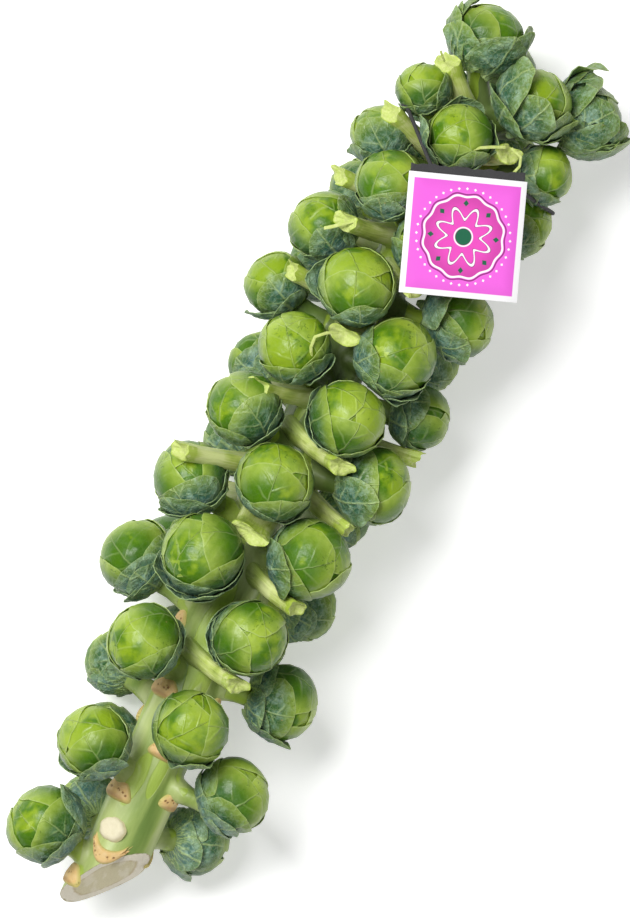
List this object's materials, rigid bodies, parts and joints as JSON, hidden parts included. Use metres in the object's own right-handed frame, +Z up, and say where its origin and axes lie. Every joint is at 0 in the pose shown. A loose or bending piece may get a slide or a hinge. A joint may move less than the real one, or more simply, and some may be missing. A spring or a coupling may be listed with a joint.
{
  "type": "brussels sprout stalk",
  "caption": "Brussels sprout stalk laid on its side: a bowed stem with an oblique cut end, leafy buds in a spiral all round it, cut leaf stems, and a square card strapped near its crown.",
  "frame": {"origin": "bottom centre of the bounding box, on the surface that the stalk lies on", "axes": "+X along the stalk from its cut butt to its crown, +Z up, +Y to the left of the stalk seen from above with the crown ahead"},
  "size_m": [0.5078, 0.1464, 0.1246],
  "materials": {
    "stalk": "satin",
    "leaf": "satin",
    "crown_leaf": "satin",
    "card": "satin",
    "strip": "matte",
    "strap": "matte"
  },
  "bodies": {
    "root": {"stalk": "stalk", "sprout_00": "leaf", "sprout_01": "leaf", "sprout_04": "leaf", "sprout_06": "leaf", "sprout_07": "leaf", "sprout_08": "leaf", "sprout_09": "leaf", "sprout_10": "leaf", "sprout_11": "leaf", "sprout_13": "leaf", "sprout_14": "leaf", "sprout_15": "leaf", "sprout_16": "leaf", "sprout_17": "leaf", "sprout_18": "leaf", "sprout_19": "leaf", "sprout_20": "leaf", "sprout_21": "leaf", "sprout_22": "leaf", "sprout_23": "leaf", "sprout_24": "leaf", "sprout_25": "leaf", "sprout_26": "leaf", "sprout_27": "leaf", "sprout_28": "leaf", "sprout_29": "leaf", "sprout_30": "leaf", "sprout_31": "leaf", "sprout_32": "leaf", "sprout_33": "leaf", "sprout_34": "leaf", "sprout_35": "leaf", "sprout_36": "leaf", "sprout_37": "leaf", "sprout_38": "leaf", "sprout_39": "leaf", "sprout_40": "leaf", "sprout_41": "leaf", "sprout_42": "leaf", "sprout_43": "leaf", "sprout_44": "leaf", "sprout_45": "leaf", "sprout_46": "leaf", "sprout_47": "leaf", "sprout_48": "leaf", "sprout_49": "leaf", "sprout_50": "leaf", "sprout_51": "leaf", "sprout_52": "leaf", "sprout_53": "leaf", "sprout_54": "crown_leaf", "sprout_55": "crown_leaf", "sprout_56": "crown_leaf", "sprout_57": "crown_leaf", "sprout_60": "crown_leaf", "tag_card": "card", "tag_strip": "strip", "strap": "strap"}
  },
  "joints": []
}
